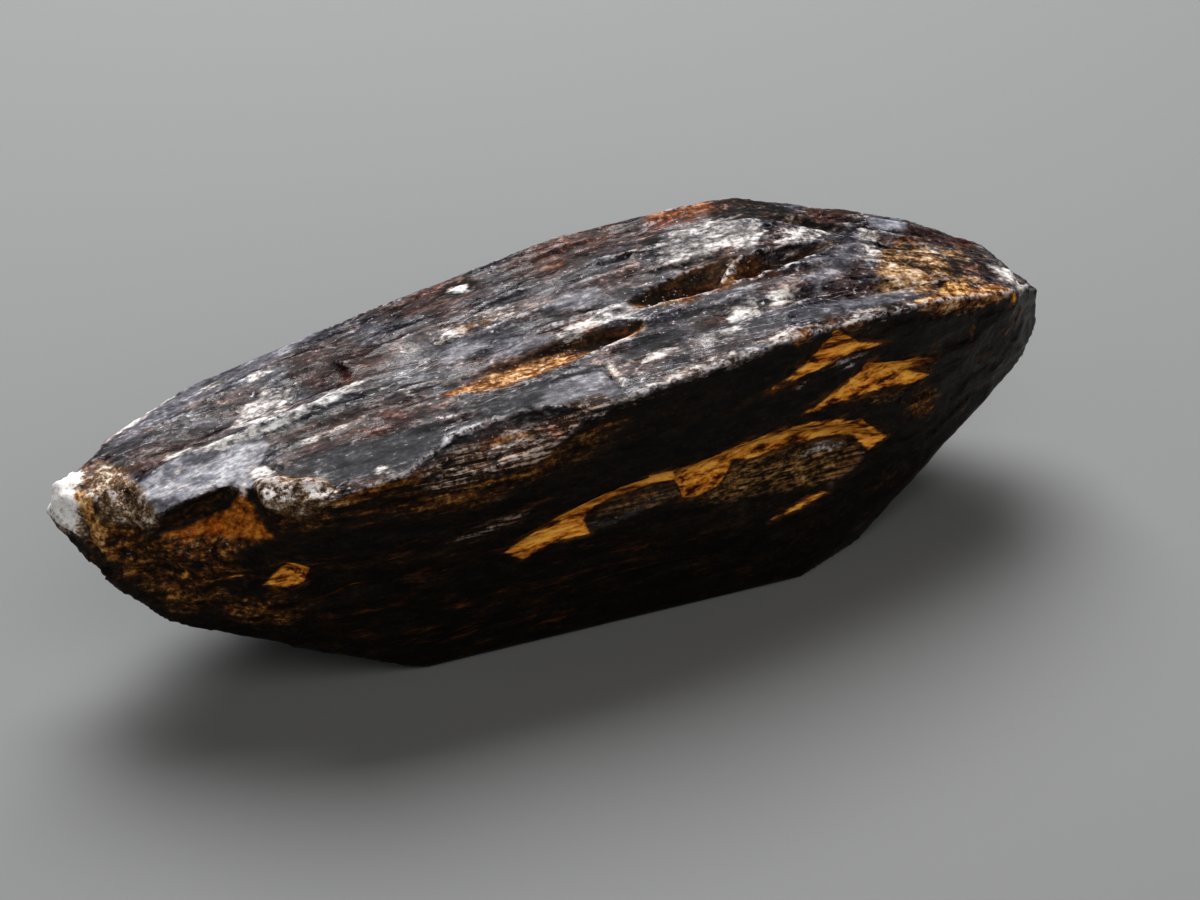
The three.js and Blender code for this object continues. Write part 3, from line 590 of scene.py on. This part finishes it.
carved = np.clip(points + facing * rise[:, None], *(np.array(cad_box) / MM))
crystal_mesh.vertices.foreach_set("co", (carved * MM).ravel())
crystal_mesh.update()

# How far each point stands above the ground about it, as on an edge, or below it, as in a groove
outward = unit(read_threes(crystal_mesh.vertex_normals, "vector"))
standing = np.sum((carved - smoothed(carved, ABOUT_ROUNDS)) * outward, axis=1)

for name, depths in {**zones, "standing": standing, "top_side": top_side}.items():
    layer = crystal_mesh.attributes.new(name, "FLOAT", "POINT")
    layer.data.foreach_set("value", depths.astype(np.float32))

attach(crystal, "root")
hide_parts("crystal")


# ---- The crystal: its finish -------------------------------------------------------------------
# Glassy dark brown stone, its upturned faces painted with a grey-violet sheen, on which laths and chips
# take the light one by one.
# Over it lie ochre, tan, rust and white crust, each ragged at its edge and grainy within.

def put(tree, kind, inputs=(), **settings):
    """A node with its settings made, its inputs joined or set."""
    node = tree.nodes.new("ShaderNode" + kind)
    for name, value in settings.items():
        setattr(node, name, value)
    for key, value in dict(inputs).items():
        if isinstance(value, bpy.types.NodeSocket):
            tree.links.new(value, node.inputs[key])
        else:
            node.inputs[key].default_value = value
    return node


def sums(tree, operation, *values):
    return put(tree, "Math", dict(enumerate(values)), operation=operation).outputs[0]


def vector_sums(tree, operation, *values):
    node = put(tree, "VectorMath", dict(enumerate(values)), operation=operation)
    return node.outputs["Value" if operation == "DOT_PRODUCT" else "Vector"]


def highest(tree, *values):
    found = values[0]
    for value in values[1:]:
        found = sums(tree, "MAXIMUM", found, value)
    return found


def product(tree, *values):
    found = values[0]
    for value in values[1:]:
        found = sums(tree, "MULTIPLY", found, value)
    return found


def one_less(tree, value, share=1.0):
    return sums(tree, "MULTIPLY_ADD", value, -share, 1.0)


def from_to(tree, value, start, end):
    """Nought up to the start value, one from the end value on, and a straight run between them."""
    return put(tree, "MapRange", {"Value": value, "From Min": start, "From Max": end}).outputs[0]


def piled(tree, *layers):
    """Patterns added up, each times its height."""
    total = 0.0
    for pattern, height in layers:
        total = sums(tree, "MULTIPLY_ADD", pattern, height, total)
    return total


def blend_colours(tree, share, under, over, **settings):
    return put(tree, "Mix", {0: share, 6: under, 7: over}, data_type="RGBA", **settings).outputs[2]


def blend_values(tree, share, under, over):
    return put(tree, "Mix", {0: share, 2: under, 3: over}, data_type="FLOAT").outputs[0]


def millimetres(tree, scale):
    place = put(tree, "TexCoord").outputs["Object"]
    return vector_sums(tree, "MULTIPLY", place, [s / MM for s in scale])


def grain(tree, scale, detail, harshness):
    """Grain with so many spots to the mm along, across and up through the crystal."""
    return put(tree, "TexNoise", {"Vector": millimetres(tree, scale), "Scale": 1.0, "Detail": detail,
                                  "Roughness": harshness}).outputs["Fac"]


def new_group(name, inputs, outputs):
    tree = bpy.data.node_groups.new(name, "ShaderNodeTree")
    for label, kind, value in inputs:
        socket = tree.interface.new_socket(label, in_out="INPUT", socket_type="NodeSocket" + kind)
        socket.default_value = value
    for label, kind in outputs:
        tree.interface.new_socket(label, in_out="OUTPUT", socket_type="NodeSocket" + kind)
    return tree, tree.nodes.new("NodeGroupInput").outputs, tree.nodes.new("NodeGroupOutput").inputs


# A patch with a ragged edge that follows the laths
ragged_patch, given, result = new_group(
    "ragged_patch", [("Depth", "Float", 0.0), ("Ragged", "Float", 0.1), ("Soft", "Float", 0.03)],
    [("Mask", "Float")])
wander = sums(ragged_patch, "SUBTRACT", grain(ragged_patch, (0.9, 3.2, 3.2), 6.0, 0.75), 0.5)
depth = sums(ragged_patch, "MULTIPLY_ADD", wander, given["Ragged"], given["Depth"])
outer = sums(ragged_patch, "MULTIPLY", given["Soft"], -1.0)
eased = put(ragged_patch, "MapRange", {"Value": depth, "From Min": outer, "From Max": given["Soft"]},
            interpolation_type="SMOOTHSTEP").outputs[0]
ragged_patch.links.new(eased, result["Mask"])

# Cells that are long one way, each leaning its own way
leaning_cells, given, result = new_group(
    "leaning_cells", [("Spots", "Vector", (0, 0, 0)), ("Warp", "Float", 0.3)],
    [("Lean", "Float"), ("Draw", "Float"), ("Gap", "Float")])
HALF = (0.5, 0.5, 0.5)
swirl = put(leaning_cells, "TexNoise", {"Vector": given["Spots"], "Scale": 0.8}).outputs["Color"]
swirl = vector_sums(leaning_cells, "SUBTRACT", swirl, HALF)
warp = put(leaning_cells, "CombineXYZ", dict.fromkeys(range(3), given["Warp"])).outputs[0]
warped = vector_sums(leaning_cells, "MULTIPLY_ADD", swirl, warp, given["Spots"])
cells = put(leaning_cells, "TexVoronoi", {"Vector": warped, "Scale": 1.0}, feature="F1")
borders = put(leaning_cells, "TexVoronoi", {"Vector": warped, "Scale": 1.0}, feature="DISTANCE_TO_EDGE")
off_centre = vector_sums(leaning_cells, "SUBTRACT", warped, cells.outputs["Position"])
own_lean = vector_sums(leaning_cells, "SUBTRACT", cells.outputs["Color"], HALF)
lean = vector_sums(leaning_cells, "DOT_PRODUCT", off_centre, own_lean)
own_draw = put(leaning_cells, "SeparateColor", {0: cells.outputs["Color"]}).outputs[2]
leaning_cells.links.new(lean, result["Lean"])
leaning_cells.links.new(own_draw, result["Draw"])
leaning_cells.links.new(borders.outputs["Distance"], result["Gap"])

xenotime = bpy.data.materials.new("xenotime")
xenotime.use_nodes = True
tree = xenotime.node_tree
shader = tree.nodes["Principled BSDF"]


def kept(name):
    """What the mesh keeps under a name for each of its points."""
    return put(tree, "Attribute", attribute_name=name, attribute_type="GEOMETRY").outputs["Fac"]


def cells_over(scale, warp):
    spots = millimetres(tree, scale)
    return put(tree, "Group", {"Spots": spots, "Warp": warp}, node_tree=leaning_cells).outputs


def ramp(value, *stops):
    """Colours (or greys) against a value, from stops of (place, colour)."""
    node = put(tree, "ValToRGB", {"Fac": value})
    scale = node.color_ramp.elements
    while len(scale) < len(stops):
        scale.new(0.5)
    for stop, (place, colour) in zip(scale, stops):
        stop.position = place
        stop.color = (*colour, 1) if isinstance(colour, tuple) else (colour, colour, colour, 1)
    return node.outputs["Color"]


# Patterns of cells, then of grain from the broadest to the finest
laths = cells_over((0.45, 2.3, 2.3), 0.35)
chips = cells_over((1.5, 5, 5), 0.5)
threads = cells_over((0.15, 3, 3), 0.5)
clouds = grain(tree, (0.28, 0.8, 0.8), 4.0, 0.6)
blotches = grain(tree, (0.6, 1.3, 1.3), 2.0, 0.5)
tints = grain(tree, (0.5, 1.3, 1.3), 3.0, 0.6)
mottle = grain(tree, (1.4, 3.6, 3.6), 6.0, 0.7)
strokes = grain(tree, (1, 5, 5), 5.0, 0.65)
lines = grain(tree, (0.5, 11, 11), 4.0, 0.6)
grainy = grain(tree, (6, 10, 10), 3.0, 0.6)
specks = grain(tree, (7, 7, 7), 3.0, 0.6)
crumbs = grain(tree, (17, 17, 17), 2.0, 0.6)
dust = grain(tree, (24, 24, 24), 2.0, 0.5)
crumbs = blend_values(tree, 0.5, mottle, blend_values(tree, 0.5, specks, crumbs))
splinters = blend_values(tree, 0.4, strokes, specks)
speckle = blend_values(tree, 0.5, mottle, specks)
banding = blend_values(tree, 0.3, lines, specks)
tone = piled(tree, (blend_values(tree, 0.35, mottle, grainy), 1.0),
             (sums(tree, "SUBTRACT", blotches, 0.5), 0.22))

# How each kind of ground looks: how ragged and how soft its edge is in mm, how rough it is, what
# its colours follow, and those colours from its darkest to its lightest parts
STONE = [(0.40, (0.005, 0.003, 0.002)), (0.56, (0.017, 0.010, 0.005)), (0.68, (0.047, 0.025, 0.010))]
FINISHES = {
    # The ground's grey on upward faces is partly a painted sheen
    "ground": (0.5, 0.15, 0.45, tone, [
        (0.36, (0.004, 0.004, 0.006)), (0.44, (0.018, 0.015, 0.020)), (0.50, (0.046, 0.041, 0.050)),
        (0.56, (0.105, 0.098, 0.112)), (0.64, (0.31, 0.30, 0.31))]),
    "maroon": (1.8, 0.30, 0.55, tone, [
        (0.38, (0.004, 0.002, 0.002)), (0.46, (0.020, 0.009, 0.008)), (0.53, (0.050, 0.026, 0.023)),
        (0.59, (0.11, 0.070, 0.062)), (0.66, (0.28, 0.22, 0.20))]),
    "slate": (0.9, 0.15, 0.60, tone, [
        (0.38, (0.006, 0.006, 0.008)), (0.48, (0.017, 0.017, 0.021)), (0.56, (0.038, 0.038, 0.044)),
        (0.64, (0.14, 0.14, 0.145))]),
    # Painted sheen: pale grey-violet
    "satin_sheen": (0.9, 0.12, 0.45, tone, [
        (0.38, (0.032, 0.031, 0.037)), (0.46, (0.086, 0.083, 0.099)), (0.54, (0.155, 0.152, 0.174)),
        (0.62, (0.40, 0.39, 0.42))]),
    # Painted sheen: milky grey-lilac
    "milk_sheen": (0.5, 0.08, 0.36, tone, [
        (0.38, (0.09, 0.091, 0.110)), (0.5, (0.185, 0.188, 0.22)), (0.62, (0.45, 0.45, 0.48))]),
    "black": (0.7, 0.12, 0.75, tone, [
        (0.44, (0.003, 0.003, 0.003)), (0.51, (0.014, 0.011, 0.010)), (0.57, (0.060, 0.042, 0.035)),
        (0.64, (0.25, 0.20, 0.18))]),
    "fracture": (1.5, 0.30, 0.65, splinters, [
        (0.40, (0.006, 0.003, 0.002)), (0.48, (0.040, 0.017, 0.005)), (0.55, (0.14, 0.060, 0.014)),
        (0.63, (0.42, 0.24, 0.08))]),
    "lamella": (0.6, 0.15, 0.60, banding, [
        (0.40, (0.010, 0.006, 0.003)), (0.47, (0.05, 0.026, 0.009)), (0.53, (0.16, 0.09, 0.028)),
        (0.60, (0.36, 0.21, 0.085)), (0.68, (0.46, 0.36, 0.26))]),
    "plates": (0.5, 0.12, 0.60, banding, [
        (0.42, (0.012, 0.006, 0.004)), (0.48, (0.048, 0.025, 0.013)), (0.53, (0.15, 0.09, 0.055)),
        (0.59, (0.54, 0.46, 0.41))]),
    "frost": (1.5, 0.08, 0.55, tone, [
        (0.38, (0.025, 0.022, 0.024)), (0.45, (0.13, 0.12, 0.122)), (0.52, (0.32, 0.30, 0.298)),
        (0.60, (0.76, 0.74, 0.74))]),
    "rust": (1.4, 0.20, 0.65, splinters, [
        (0.38, (0.012, 0.004, 0.002)), (0.46, (0.075, 0.020, 0.005)), (0.53, (0.21, 0.062, 0.013)),
        (0.61, (0.42, 0.17, 0.05))]),
    "rim": (1.6, 0.08, 0.60, tone, [
        (0.41, (0.02, 0.012, 0.009)), (0.47, (0.10, 0.070, 0.058)), (0.52, (0.26, 0.225, 0.21)),
        (0.59, (0.68, 0.65, 0.64))]),
    "weathered": (1.8, 0.20, 0.65, tone, [
        (0.40, (0.012, 0.008, 0.005)), (0.46, (0.09, 0.048, 0.024)), (0.51, (0.26, 0.15, 0.068)),
        (0.56, (0.44, 0.30, 0.17)), (0.63, (0.76, 0.67, 0.58))]),
    "tan": (0.8, 0.08, 0.80, splinters, [
        (0.40, (0.03, 0.011, 0.004)), (0.47, (0.16, 0.065, 0.018)), (0.53, (0.36, 0.18, 0.066)),
        (0.61, (0.70, 0.52, 0.33))]),
    # Painted shade on the walls of the slots and the notch
    "wall_shade": (0.2, 0.06, 0.75, speckle, [
        (0.40, (0.008, 0.004, 0.002)), (0.5, (0.036, 0.019, 0.008)), (0.60, (0.12, 0.06, 0.023))]),
    "umber": (0.6, 0.08, 0.75, splinters, [
        (0.40, (0.012, 0.005, 0.002)), (0.47, (0.060, 0.024, 0.006)), (0.54, (0.20, 0.083, 0.017)),
        (0.62, (0.50, 0.27, 0.08))]),
    "scar": (1.0, 0.12, 0.55, strokes, [
        (0.40, (0.006, 0.003, 0.002)), (0.50, (0.045, 0.017, 0.006)), (0.60, (0.16, 0.06, 0.015))]),
    "ochre": (0.4, 0.04, 0.80, strokes, [
        (0.36, (0.05, 0.014, 0.004)), (0.42, (0.28, 0.100, 0.016)), (0.49, (0.68, 0.295, 0.045)),
        (0.60, (0.97, 0.56, 0.13))]),
    "sienna": (0.25, 0.05, 0.80, splinters, [
        (0.38, (0.07, 0.019, 0.003)), (0.45, (0.24, 0.078, 0.009)), (0.52, (0.42, 0.15, 0.018)),
        (0.60, (0.62, 0.29, 0.05))]),
    "crumb": (0.5, 0.16, 0.70, crumbs, [
        (0.40, (0.022, 0.012, 0.007)), (0.47, (0.12, 0.072, 0.038)), (0.53, (0.30, 0.21, 0.135)),
        (0.60, (0.74, 0.69, 0.64))]),
    "glass": (1.1, 0.10, 0.35, tone, [
        (0.36, (0.30, 0.25, 0.20)), (0.42, (0.66, 0.62, 0.58)), (0.48, (0.93, 0.92, 0.91)),
        (0.56, (0.99, 0.99, 0.99))]),
    "amber": (0.6, 0.06, 0.50, speckle, [
        (0.40, (0.06, 0.022, 0.006)), (0.47, (0.28, 0.13, 0.032)), (0.54, (0.55, 0.33, 0.12)),
        (0.62, (0.85, 0.74, 0.54))]),
    "sugar": (0.8, 0.06, 0.35, speckle, [
        (0.41, (0.045, 0.026, 0.018)), (0.46, (0.24, 0.18, 0.15)), (0.50, (0.62, 0.59, 0.57)),
        (0.56, (0.96, 0.96, 0.97))]),
    # White veins, partly painted glints on edges
    "vein_and_glint": (0.7, 0.08, 0.50, tone, [
        (0.40, (0.10, 0.094, 0.09)), (0.47, (0.36, 0.34, 0.33)), (0.55, (0.82, 0.80, 0.79))]),
}
STONE_ROUGHNESS = 0.22
colour, roughness = ramp(tone, *STONE), STONE_ROUGHNESS
masks = {}
for name, (ragged, soft, own_roughness, follows, stops) in FINISHES.items():
    outline = {"Depth": kept(name), "Ragged": ragged, "Soft": soft}
    masks[name] = put(tree, "Group", outline, node_tree=ragged_patch).outputs["Mask"]
    colour = blend_colours(tree, masks[name], colour, ramp(follows, *stops))
    roughness = blend_values(tree, masks[name], roughness, own_roughness)


def any_of(*names):
    return highest(tree, *(masks[name] for name in names))


slabs = any_of("slate", "satin_sheen", "milk_sheen")
raw = any_of("tan", "ochre", "rim", "crumb", "sienna")

# The plain ground of the top leans to blue or to brown from place to place
LEANINGS = (0.38, (0.88, 0.96, 1.03)), (0.48, (1.0, 0.98, 0.94)), (0.58, (1.22, 0.90, 0.76))
covered = any_of("slate", "satin_sheen", "milk_sheen", "frost", "glass", "tan", "rim", "crumb", "sugar",
                 "vein_and_glint", "weathered")
tinted = product(tree, kept("top_side"), one_less(tree, covered, 0.9))
colour = blend_colours(tree, tinted, colour, ramp(tints, *LEANINGS), blend_type="MULTIPLY")

# Painted shade in the grooves between the laths, deeper in some places
GROOVE_SHADE_START, GROOVE_SHADE_FULL = -0.008, -0.03  # mm below the ground about it
GROOVE_SHADE_COLOUR = 0.012, 0.008, 0.007, 1
groove_shade = from_to(tree, kept("standing"), GROOVE_SHADE_START, GROOVE_SHADE_FULL)
groove_shade = product(tree, groove_shade, kept("top_side"), ramp(mottle, (0.4, 0.8), (0.6, 0.2)))
colour = blend_colours(tree, groove_shade, colour, GROOVE_SHADE_COLOUR)

# White on the raised edges of the top, partly wear and partly painted glints, broken hair lines between
# its laths, and stray white specks as painted sparkle
WEAR_GLINT_START, WEAR_GLINT_FULL = 0.014, 0.04  # mm above the ground about it
WEAR_GLINT_COLOUR, WEAR_GLINT_SHARE = (0.62, 0.6, 0.62, 1), 0.75
HAIR_WIDTH = 0.022  # of a cell
edge_wear_and_glint = from_to(tree, kept("standing"), WEAR_GLINT_START, WEAR_GLINT_FULL)
hair_lines = from_to(tree, threads["Gap"], HAIR_WIDTH, 0.0)
hair_lines = product(tree, hair_lines, ramp(clouds, (0.50, 0.0), (0.58, 1.0)))
wear_and_glint = product(tree, highest(tree, edge_wear_and_glint, hair_lines), ramp(specks, (0.42, 0.0), (0.56, 1.0)))
# Stray white specks: painted sparkle
wear_and_glint = highest(tree, wear_and_glint, ramp(grainy, (0.65, 0.0), (0.70, 1.0)))
dull = highest(tree, masks["black"], product(tree, highest(tree, masks["maroon"], slabs), 0.7))
wear_and_glint = product(tree, wear_and_glint, one_less(tree, dull, 0.9), kept("top_side"))
colour = blend_colours(tree, product(tree, wear_and_glint, WEAR_GLINT_SHARE), colour, WEAR_GLINT_COLOUR)
tree.links.new(colour, shader.inputs["Base Color"])
shader.inputs["Specular IOR Level"].default_value = 0.28
shader.inputs["IOR"].default_value = 1.5

# The lighter parts gleam more. Here and there a chip of the top is glassy, and flashes as it
# leans to the light
LEAST_ROUGHNESS = 0.12
never = highest(tree, slabs, raw, masks["rust"], masks["black"])
flash = ramp(chips["Draw"], (0.5, 0.0), (0.6, 0.3))
flash = product(tree, flash, kept("top_side"), one_less(tree, never))
roughness = piled(tree, (sums(tree, "SUBTRACT", tone, 0.5), -0.3), (roughness, 1.0), (flash, -1.0))
tree.links.new(highest(tree, roughness, LEAST_ROUGHNESS), shader.inputs["Roughness"])

# Fine relief, with heights in mm: gentle on slabs, grainy on raw and crusted ground
flakes = piled(tree, (chips["Lean"], 0.035), (mottle, 0.03), (grainy, 0.012))
speck_height = sums(tree, "MULTIPLY_ADD", raw, 0.02, 0.002)
dust_height = sums(tree, "MULTIPLY_ADD", raw, 0.0034, 0.0013)
relief = piled(tree, (flakes, one_less(tree, slabs, 0.75)), (laths["Lean"], 0.05), (lines, 0.006),
               (specks, speck_height), (dust, dust_height))
bump = put(tree, "Bump", {"Height": relief, "Distance": 1 * MM, "Strength": 1.0})
tree.links.new(bump.outputs[0], shader.inputs["Normal"])

crystal_mesh.materials.clear()
crystal_mesh.materials.append(xenotime)
